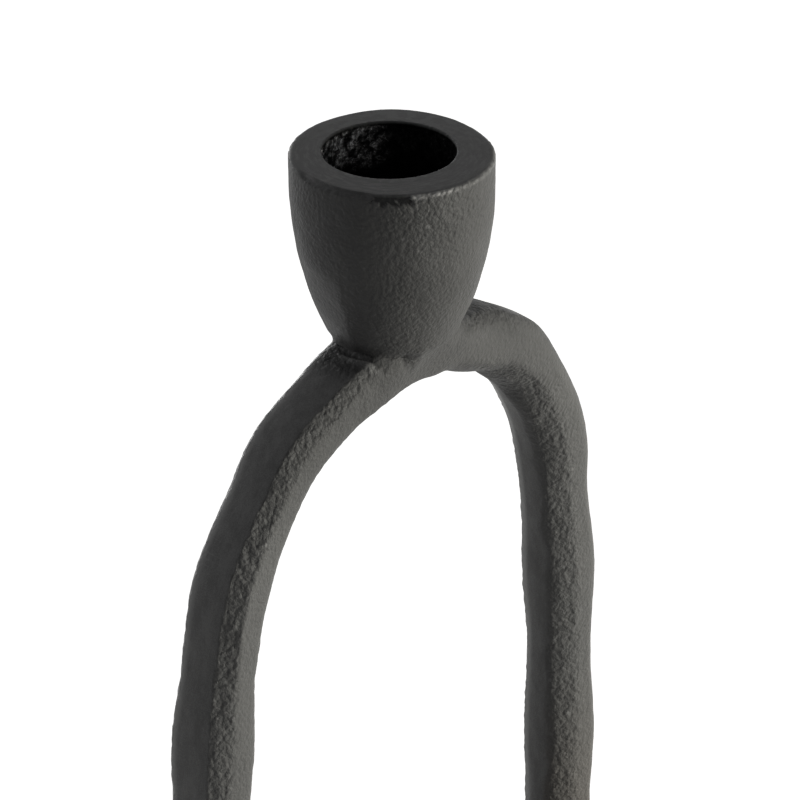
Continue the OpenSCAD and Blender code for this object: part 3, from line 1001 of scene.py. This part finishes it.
def plain_bar(bar, rings):
    """Straight bar from X 0 to 1 with rounded corners, its depth along Y and its outer face upwards."""
    bm = bmesh.new()
    bmesh.ops.create_cube(bm, size=1.0)
    bmesh.ops.scale(bm, vec=(1.0, bar.depth, bar.thickness), verts=bm.verts)
    bmesh.ops.translate(bm, vec=(0.5, 0.0, 0.0), verts=bm.verts)

    def along():
        return [edge for edge in bm.edges if abs(edge.verts[0].co.x - edge.verts[1].co.x) > 0.5]

    bmesh.ops.bevel(
        bm, geom=along(), offset=bar.corner_radius, offset_type="OFFSET", segments=14, profile=0.5,
        affect="EDGES", material=-1)
    wide = bar.depth - 2 * bar.corner_radius
    narrow = bar.thickness - 2 * bar.corner_radius
    for width, cuts in ((wide, 12), (narrow, 7)):
        across = [edge for edge in bm.edges if abs(edge.calc_length() - width) < 0.05 * MM]
        bmesh.ops.subdivide_edges(bm, edges=across, cuts=cuts - 1)
    bmesh.ops.subdivide_edges(bm, edges=along(), cuts=rings - 1)
    return mesh_of(bm, "arch_casting")


def hammer_corner(bar, section, places, thickness, depth):
    """Cuts down the front corner that shows. Gives the section, the direction that the cut faces and how
    far each point lay past the cut and across it, from the ground face to the front."""
    side = np.where(places < 0.5, 1.0, -1.0)
    into_front, into_face, softness = (
        bar.thickness * share_at(CORNER_SHARES, places, column) for column in (1, 2, 3))
    facing = np.stack((-into_face, side * into_front), axis=1)
    facing /= np.linalg.norm(facing, axis=1)[:, None]
    edge = np.stack((into_front - depth / 2, side * thickness / 2), axis=1)
    past = ((section - edge) * facing).sum(axis=1)
    crosswise = np.stack((-facing[:, 1] * side, facing[:, 0] * side), axis=1)
    across = ((section - edge) * crosswise).sum(axis=1) / np.hypot(into_front, into_face)
    soft_cut = np.clip(past + softness, 0.0, None) ** 2 / (4 * softness)
    taken = np.where(past > softness, past, soft_cut)
    return section - facing * taken[:, None], facing, past, across


def grind_faces(bar, section, waves, thickness, depth):
    """Grinds the outer and the inner face of the bar flat, in place. Gives the heights in the section
    before the cut and how far each of them lay past it."""
    from_middle = np.abs(section[:, 1])
    pushed = section[:, 1] + np.sign(section[:, 1]) * bar.grind * smooth(0.0, 1.0 * MM, from_middle)
    crown = np.where(pushed > 0, bar.outer_crown, bar.inner_crown)
    half = thickness / 2 + waves + crown * (0.12 - (section[:, 0] / (depth / 2)) ** 2)
    over = np.abs(pushed) - half
    section[:, 1] = np.sign(pushed) * (np.abs(pushed) - np.clip(over, 0.0, None))
    return pushed, over


def shape_arch(mesh, holder, rings):
    """Bends the plain bar into the arch and gives it its cast skin, ground flats and hammered corners."""
    bar, skin = holder.bar, holder.skin
    plain = points_of(mesh)
    ring = np.rint(plain[:, 0] * rings).astype(int)
    places, centre, outward, thickness, depth = (row[ring] for row in bar_rings(bar, rings))

    # The plain section, with the depth and the thickness that the bar has at each place
    radius = bar.corner_radius
    core = np.array((bar.depth / 2 - radius, bar.thickness / 2 - radius))
    inner = np.clip(plain[:, 1:], -core, core)
    way = (plain[:, 1:] - inner) / radius
    inner = inner / core * (np.stack((depth, thickness), axis=1) / 2 - radius)

    def bent(section):
        return np.stack((
            centre[:, 0] + outward[:, 0] * section[:, 1], section[:, 0],
            centre[:, 1] + outward[:, 1] * section[:, 1]), axis=1)

    # The hammered corner and the lumps of the skin
    section, facing, past, across = hammer_corner(bar, inner + way * radius, places, thickness, depth)
    skinless = bent(section)
    corner = smooth(0.15, 0.7, np.minimum(np.abs(way[:, 0]), np.abs(way[:, 1])) * 1.41)
    cast_face = smooth(0.5, 0.95, np.abs(way[:, 0]))
    marked = (smooth(-0.5 * MM, 0.4 * MM, past) * smooth(1.25, 0.85, across)
              * share_at(CORNER_SHARES, places, 4))
    on_right = centre[:, 0] > 0
    seen_corner = np.where(on_right, 0.1, 0.3)
    hammered = np.maximum(np.where(way[:, 0] > 0, 0.55, seen_corner) * corner, marked)
    coarse = np.where(on_right, 0.65, 0.3)
    heights = (
        skin.broad * lumps(skinless, 7.0 * MM, 2)
        + skin.hammered * hammered * (
            lumps(skinless, skin.hammered_size, 2, 5.0) + coarse * lumps(skinless, 3.0 * MM, 1, 1.0))
        + 0.3 * skin.broad * cast_face * lumps(skinless, 1.8 * MM, 2, 2.0))
    leaning = way * (1 - marked)[:, None] + facing * marked[:, None]
    section += leaning / np.linalg.norm(leaning, axis=1)[:, None] * heights[:, None]

    # The ground faces, and the swelling under the cup
    waves = 0.07 * MM * lumps(skinless, 9.0 * MM, 1, 4.0)
    pushed, over = grind_faces(bar, section, waves, thickness, depth)
    front = smooth(0.2, 1.0, -section[:, 0] / (depth / 2))
    section[:, 0] -= front * front_swell(bar, centre[:, 0], section[:, 1])
    points = bent(section)

    # The hollow that joins the bar and the cup, the bead beside the cup, and the flat seat under it
    near = np.flatnonzero((np.abs(points[:, 0]) < 22.0 * MM) & (points[:, 2] > SEAT_Z - 13.0 * MM))
    reach = np.hypot(points[:, 0], points[:, 1])
    angle = side_angle(points)
    seated = smooth(10.2 * MM, 9.6 * MM, reach[near])
    seated *= smooth(SEAT_Z - 0.9 * MM, SEAT_Z - 0.5 * MM, points[near, 2])
    outer = smooth(*HOLLOW_GAPS, cup_gap(holder.cup, points[near])) * (1 - seated)
    points[near] = run_together(holder, points[near], bar_gap(bar, points[near]), outer)
    reach = np.hypot(points[:, 0], points[:, 1])
    beside_cup = window(angle, *BEAD_ANGLES) * smooth(-3.0 * MM, -1.5 * MM, points[:, 2] - SEAT_Z)
    bead = np.exp(-((reach - 12.9 * MM) / (0.55 * MM)) ** 2)
    bead -= 0.7 * np.exp(-((reach - 11.9 * MM) / (0.4 * MM)) ** 2)
    points[:, 2] += beside_cup * BEAD_HEIGHT * bead * (1 + 0.3 * lumps(points, 2.0 * MM, 1, 8.0))
    under_cup = smooth(10.4 * MM, 9.6 * MM, reach)
    above = np.clip(points[:, 2] - SEAT_Z, 0.0, None)
    points[:, 2] -= above * under_cup
    points[:, 2] = np.maximum(points[:, 2], PLATE_TOP_Z)
    place_points(mesh, points)

    # Masks for the paint: painted shade in the pits on the arms beside the cup and in the crevice at the
    # bead, and painted highlights on the bead and the back corners of the bar
    flat = smooth(-0.05 * MM, 0.12 * MM, over)
    topmost = flat * (pushed > 0) * smooth(SEAT_Z - 9.0 * MM, SEAT_Z - 4.0 * MM, points[:, 2])
    raised = beside_cup * np.clip(bead, 0.0, 1.0)
    spotty = np.clip(0.5 + 0.9 * lumps(points, 1.6 * MM, 2, 13.0), 0.0, 1.0)
    left_spots = topmost * (points[:, 0] < 0) * smooth(*LEFT_SPOTS_REACH, reach)
    right_spots = (
        smooth(0.35, 0.7, section[:, 1] / (thickness / 2)) * (points[:, 0] > 0)
        * window(reach, *RIGHT_SPOTS_REACH))
    carry_masks(
        mesh, ground=flat * (1 - left_spots) * (1 - right_spots),
        hammered=hammered * (1 - flat) + 0.8 * left_spots + 0.9 * right_spots,
        dark=(0.38 * left_spots * spotty * (1 - raised) + 0.32 * right_spots * spotty
              + 0.3 * beside_cup * np.clip(-bead, 0.0, 1.0)),
        worn=0.4 * raised + corner * (way[:, 0] > 0))


class HOLDER_OT_arch(bpy.types.Operator):
    """Bend the rough cast bar into the arch that carries the cup"""

    bl_idname = "holder.arch"
    bl_label = "Arch"

    rings: IntProperty(
        name="Rings", description="Number of rings along the bar", default=940, min=100, max=1000)

    def execute(self, context):
        holder = context.scene.candle_holder
        mesh = plain_bar(holder.bar, self.rings)
        shape_arch(mesh, holder, self.rings)
        piece = piece_of(mesh)
        leg = holder.bar.span / 2
        taps = [rod(0.0, 0.0, SEAT_Z - 7.2 * MM, SEAT_Z + 2.0 * MM, TAPPED_RADIUS)]
        for x in (-leg, leg):
            taps.append(
                rod(x, 0.0, PLATE_TOP_Z - 2.0 * MM, PLATE_TOP_Z + 12.0 * MM, TAPPED_RADIUS))
        cut_away(piece, taps)
        dress(piece, "arch", "black_casting")
        return {"FINISHED"}


# Base plate


def plate_outline(plate, half_width):
    """Edge of the plate from the middle of its underside to the middle of its top, as radius and
    height."""
    top, foot = plate.top_edge, plate.foot_edge
    foot_round = [
        (half_width - foot * (1 - math.sin(turn)), PLATE_FOOT_Z + foot * (1 - math.cos(turn)))
        for turn in np.linspace(0, math.pi / 2, 5)]
    top_round = [
        (half_width - top * (1 - math.cos(turn)), PLATE_TOP_Z - top * (1 - math.sin(turn)))
        for turn in np.linspace(0, math.pi / 2, 9)]
    corners = [(0.0, PLATE_FOOT_Z)] + foot_round + top_round + [(0.0, PLATE_TOP_Z)]
    return resampled(corners, 0.75 * MM) + [corners[-1]]


def shape_plate(mesh, holder, half_length, half_width):
    """Draws the round plate out into its oval and gives it a cast skin that stays flat round the legs."""
    skin = holder.skin
    border = 6.0 * MM
    points = points_of(mesh)
    radius = np.hypot(points[:, 0], points[:, 1])
    share = np.minimum(radius / (half_width - border), 1.0)
    inset = np.maximum(radius - (half_width - border), 0.0)
    turn = np.arctan2(points[:, 1], points[:, 0])
    for axis, way, half in ((0, np.cos(turn), half_length), (1, np.sin(turn), half_width)):
        drawn = np.sign(way) * np.abs(way) ** (2 / holder.plate.outline)
        points[:, axis] = drawn * (share * (half - border) + inset)
    place_points(mesh, points)

    normals = points_of(mesh, "normal")
    above = smooth(PLATE_FOOT_Z + 0.5 * MM, PLATE_FOOT_Z + 2.5 * MM, points[:, 2])
    edge = smooth(half_width - 5.0 * MM, half_width - 1.0 * MM, radius)
    heights = above * (
        skin.broad * lumps(points, 9.0 * MM, 2) * (1 - 0.3 * edge)
        + 0.35 * skin.broad * lumps(points, 2.4 * MM, 2, 3.0)
        + 0.6 * skin.hammered * edge * lumps(points, 2.6 * MM, 2, 8.0))
    from_leg = np.hypot(np.abs(points[:, 0]) - holder.bar.span / 2, points[:, 1])
    raised = np.maximum(heights, 0.0) * smooth(7.0 * MM, 10.0 * MM, from_leg)
    heights = np.minimum(heights, 0.0) + raised - 0.1 * MM * above
    heights *= smooth(5.0 * MM, 9.0 * MM, from_leg)
    place_points(mesh, points + normals * heights[:, None])
    carry_masks(mesh, ground=1 - above, hammered=0.6 * edge * above)


class HOLDER_OT_base_plate(bpy.types.Operator):
    """Cast the oval base plate with its counterbores and pad recesses"""

    bl_idname = "holder.base_plate"
    bl_label = "Base Plate"

    def execute(self, context):
        holder = context.scene.candle_holder
        plate = holder.plate
        low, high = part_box("base_plate")
        mesh = turned_mesh(plate_outline(plate, high.y), 320, "plate_casting")
        shape_plate(mesh, holder, high.x, high.y)
        piece = piece_of(mesh)
        below = low.z - MM
        cutters = []
        for side in ("left", "right"):
            _, washer_top, middle, reach = round_solid(side + "_leg_washer")
            cutters.append(rod(middle.x, 0.0, below, washer_top, reach + 0.5 * MM))
            cutters.append(rod(middle.x, 0.0, below, high.z + MM, CLEAR_RADIUS))
        for name in PAD_NAMES:
            _, _, middle, reach = round_solid(name)
            cutters.append(
                rod(middle.x, middle.y, below, low.z + plate.pad_recess, reach + 0.3 * MM))
        cut_away(piece, cutters)
        dress(piece, "base_plate", "black_casting")
        return {"FINISHED"}


# Screws, washers and felt pads


def thread_radius(height, turn, core, crest, pitch):
    """Radius of a screw thread at a height and an angle round the screw."""
    wave = (height / pitch - turn / (2 * math.pi)) % 1.0
    return core + (crest - core) * np.clip(1.25 - 2.5 * np.abs(wave - 0.5), 0.0, 1.0)


def shape_thread(mesh, crest, low, high):
    """Cuts the thread into the plain shank between two heights."""
    pitch = 0.8 * MM
    points = points_of(mesh)
    radius = np.hypot(points[:, 0], points[:, 1])
    turn = np.arctan2(points[:, 1], points[:, 0])
    thread = thread_radius(points[:, 2], turn, crest - 0.45 * MM, crest, pitch)
    inside = (
        (radius > crest * 0.8) & (radius < crest * 1.05) & (points[:, 2] > low)
        & (points[:, 2] < high))
    scale = np.where(inside, thread / np.maximum(radius, 1e-6), 1.0)
    points[:, :2] *= scale[:, None]
    place_points(mesh, points)


def rounded(corners, edge, steps=4):
    """Outline with its inner corners rounded off by short arcs."""
    points = [corners[0]]
    for before, corner, after in zip(corners, corners[1:], corners[2:]):
        back, ahead = Vector(before) - Vector(corner), Vector(after) - Vector(corner)
        reach = min(edge, 0.45 * back.length, 0.45 * ahead.length)
        start = Vector(corner) + back.normalized() * reach
        end = Vector(corner) + ahead.normalized() * reach
        for k in range(steps + 1):
            share = k / steps
            points.append(tuple(
                start * (1 - share) ** 2 + Vector(corner) * 2 * share * (1 - share) + end * share ** 2))
    return points + [corners[-1]]


def screw_piece(name, node, corners, edge, thread, key, x):
    """A screw from the corners of its outline, with a thread on its shank and a hexagon socket in its
    head. The thread goes between two heights. The key is given by its width and the socket's heights."""
    outline = rounded(corners, edge)
    mesh = turned_mesh(resampled(outline, 0.12 * MM) + [outline[-1]], 72, name)
    shape_thread(mesh, SHANK_RADIUS, *thread)
    shift_points(mesh, x, 0.0)
    mesh.set_sharp_from_angle(angle=SHARP_ANGLE)
    piece = piece_of(mesh)
    width, low, high = key
    cut_away(piece, [rod(x, 0.0, low, high, width / 2 / math.cos(math.pi / 6), sides=6)])
    dress(piece, node, "zinc_steel")


class HOLDER_OT_screws(bpy.types.Operator):
    """Make the countersunk screw in the cup and the two cap screws under the legs"""

    bl_idname = "holder.screws"
    bl_label = "Screws"

    def execute(self, context):
        shank, tip = SHANK_RADIUS, 0.6 * MM
        key, socket_depth = 3.0 * MM, 1.8 * MM
        low, high, _, head = round_solid("cup_screw")
        land = high - 0.4 * MM
        cone = land - (head - shank)
        corners = [
            (0.0, high), (head, high), (head, land), (shank, cone), (shank, low + tip),
            (shank - tip, low), (0.0, low)]
        screw_piece(
            "countersunk_screw", "cup_screw", corners, 0.15 * MM, (low + tip, cone - 0.4 * MM),
            (key, high - socket_depth, high + MM), 0.0)
        for side in ("left", "right"):
            low, high, middle, head = round_solid(side + "_leg_screw")
            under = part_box(side + "_leg_washer")[0].z
            corners = [
                (0.0, low), (head - 0.1 * MM, low), (head, low + 0.8 * MM), (head, under),
                (shank, under), (shank, high - tip), (shank - tip, high), (0.0, high)]
            screw_piece(
                side + "_cap_screw", side + "_leg_screw", corners, 0.35 * MM,
                (under + 1.2 * MM, high - tip), (key, low - MM, low + socket_depth), middle.x)
        return {"FINISHED"}


class HOLDER_OT_washers(bpy.types.Operator):
    """Punch the plain washers between the cap screws and the base plate"""

    bl_idname = "holder.washers"
    bl_label = "Washers"

    def execute(self, context):
        for side in ("left", "right"):
            low, high, middle, reach = round_solid(side + "_leg_washer")
            outline = rounded([
                (CLEAR_RADIUS, middle.z), (CLEAR_RADIUS, high), (reach, high), (reach, low),
                (CLEAR_RADIUS, low), (CLEAR_RADIUS, middle.z)], 0.18 * MM)[:-1]
            mesh = turned_mesh(outline, 96, side + "_plain_washer", closed=True)
            shift_points(mesh, middle.x, 0.0)
            mesh.set_sharp_from_angle(angle=SHARP_ANGLE)
            dress(piece_of(mesh), side + "_leg_washer", "zinc_steel")
        return {"FINISHED"}


class HOLDER_OT_felt_pads(bpy.types.Operator):
    """Cut the felt pads that keep the plate off the table"""

    bl_idname = "holder.felt_pads"
    bl_label = "Felt Pads"

    def execute(self, context):
        for name in PAD_NAMES:
            low, high, middle, reach = round_solid(name)
            outline = rounded([(0.0, low), (reach, low), (reach, high), (0.0, high)], 0.3 * MM)
            mesh = turned_mesh(
                resampled(outline, 0.25 * MM) + [outline[-1]], 160, name.replace("pad", "felt"))
            shift_points(mesh, middle.x, middle.y)
            points = points_of(mesh)
            fuzz = 0.10 * MM * lumps(points, 0.9 * MM, 3) - 0.08 * MM
            points += points_of(mesh, "normal") * fuzz[:, None]
            points[:, 2] = np.clip(points[:, 2], low, high)
            place_points(mesh, points)
            dress(piece_of(mesh), name, "black_felt")
        return {"FINISHED"}


# Camera, floor and light


def lamp(name, direction, distance, size, power, target, colour):
    """A soft rectangular lamp that faces the target from a direction."""
    light = bpy.data.lights.new(name, "AREA")
    light.shape = "RECTANGLE"
    light.size, light.size_y = size
    light.energy = power
    light.color = colour
    placed = bpy.data.objects.new(name, light)
    placed.location = target + direction.normalized() * distance
    placed.rotation_euler = direction.to_track_quat("Z", "Y").to_euler()
    bpy.context.scene.collection.objects.link(placed)


def towards(azimuth, turn, elevation):
    """Direction from the holder that is turned to the camera's right and raised."""
    angle = azimuth + turn
    return Vector((
        math.sin(angle) * math.cos(elevation), -math.cos(angle) * math.cos(elevation),
        math.sin(elevation)))


class HOLDER_OT_studio(bpy.types.Operator):
    """Set up the camera, the pale floor and the soft light"""

    bl_idname = "holder.studio"
    bl_label = "Studio"

    def execute(self, context):
        scene = context.scene
        studio = scene.candle_holder.studio
        scene.view_settings.view_transform = "Standard"

        rim = Vector((0.0, 0.0, RIM_Z))
        back = towards(studio.azimuth, 0.0, studio.pitch)
        right = Vector((math.cos(studio.azimuth), math.sin(studio.azimuth), 0.0))
        up = back.cross(right)
        camera = bpy.data.objects.new("camera", bpy.data.cameras.new("camera"))
        camera.data.lens = studio.lens
        camera.data.sensor_width = 36.0
        camera.data.clip_start, camera.data.clip_end = 0.05, 20.0
        camera.location = rim + back * studio.distance + right * 1.4 * MM - up * 42.0 * MM
        camera.rotation_euler = back.to_track_quat("Z", "Y").to_euler()
        scene.collection.objects.link(camera)
        scene.camera = camera

        world = Graph(bpy.data.worlds.new("studio"))
        seen = world.seen_directly()
        strength = studio.ambient + (1.0 - studio.ambient) * seen
        surroundings = world.node(
            "ShaderNodeBackground", sockets={"Color": rgba(WHITE), "Strength": strength})
        world.node("ShaderNodeOutputWorld", sockets={"Surface": surroundings})
        scene.world = world.owner

        bm = bmesh.new()
        bmesh.ops.create_grid(bm, x_segments=8, y_segments=8, size=3.0)
        floor = piece_of(mesh_of(bm, "floor"))
        white = Graph(bpy.data.materials.new("floor_white"))
        matt = white.node("ShaderNodeBsdfDiffuse", sockets={"Color": rgba(WHITE, 0.8)})
        glow = white.node(
            "ShaderNodeEmission",
            sockets={"Color": rgba(WHITE), "Strength": white.seen_directly() * 0.8})
        both = white.node("ShaderNodeAddShader", sockets={0: matt, 1: glow})
        white.node("ShaderNodeOutputMaterial", sockets={"Surface": both})
        floor.data.materials.append(white.owner)

        for name, turn, elevation, distance, size, power, height, colour in (
                ("key_lamp", studio.key_turn, 4.0, 0.8, (0.42, 0.27), studio.key_power, 0.08,
                 (1.0, 0.98, 0.89)),
                ("fill_lamp", studio.fill_turn, 12.0, 1.5, (0.8, 0.6), studio.fill_power, 0.15, WHITE),
                ("edge_lamp", studio.edge_turn, 3.0, 1.5, (0.8, 0.3), studio.edge_power, 0.12, WHITE)):
            direction = towards(studio.azimuth, turn, math.radians(elevation))
            lamp(name, direction, distance, size, power, Vector((0.0, 0.0, height)), colour)
        return {"FINISHED"}


# Add-on


class CandleHolder(bpy.types.PropertyGroup):
    """Everything that can be changed about the candle holder"""

    cup: PointerProperty(name="Cup", description="Sizes of the candle cup", type=CupSizes)
    bar: PointerProperty(name="Bar", description="Sizes of the bar of the arch", type=BarSizes)
    plate: PointerProperty(name="Plate", description="Sizes of the base plate", type=PlateSizes)
    skin: PointerProperty(name="Cast skin", description="Texture of the castings", type=CastSkin)
    finish: PointerProperty(name="Finishes", description="Colours and sheen", type=Finishes)
    studio: PointerProperty(name="Studio", description="Camera and light", type=Studio)


class HOLDER_PT_panel(bpy.types.Panel):
    """Lists the steps that build the candle holder"""

    bl_idname = "HOLDER_PT_panel"
    bl_label = "Candle Holder"
    bl_space_type = "VIEW_3D"
    bl_region_type = "UI"
    bl_category = "Candle Holder"

    def draw(self, context):
        column = self.layout.column(align=True)
        for operator in OPERATORS:
            column.operator(operator.bl_idname)


OPERATORS = (
    HOLDER_OT_studio,
    HOLDER_OT_candle_cup,
    HOLDER_OT_arch,
    HOLDER_OT_base_plate,
    HOLDER_OT_screws,
    HOLDER_OT_washers,
    HOLDER_OT_felt_pads,
)
GROUPS = (CupSizes, BarSizes, PlateSizes, CastSkin, Finishes, Studio, CandleHolder)


def register():
    for made in GROUPS + OPERATORS + (HOLDER_PT_panel,):
        bpy.utils.register_class(made)
    bpy.types.Scene.candle_holder = PointerProperty(
        name="Candle holder", description="Settings of the candle holder", type=CandleHolder)


def unregister():
    del bpy.types.Scene.candle_holder
    for made in reversed(GROUPS + OPERATORS + (HOLDER_PT_panel,)):
        bpy.utils.unregister_class(made)


def main():
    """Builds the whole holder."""
    register()
    bpy.ops.holder.studio()
    bpy.ops.holder.candle_cup()
    bpy.ops.holder.arch()
    bpy.ops.holder.base_plate()
    bpy.ops.holder.screws()
    bpy.ops.holder.washers()
    bpy.ops.holder.felt_pads()
    bpy.context.view_layer.update()


if __name__ == "__main__":
    main()
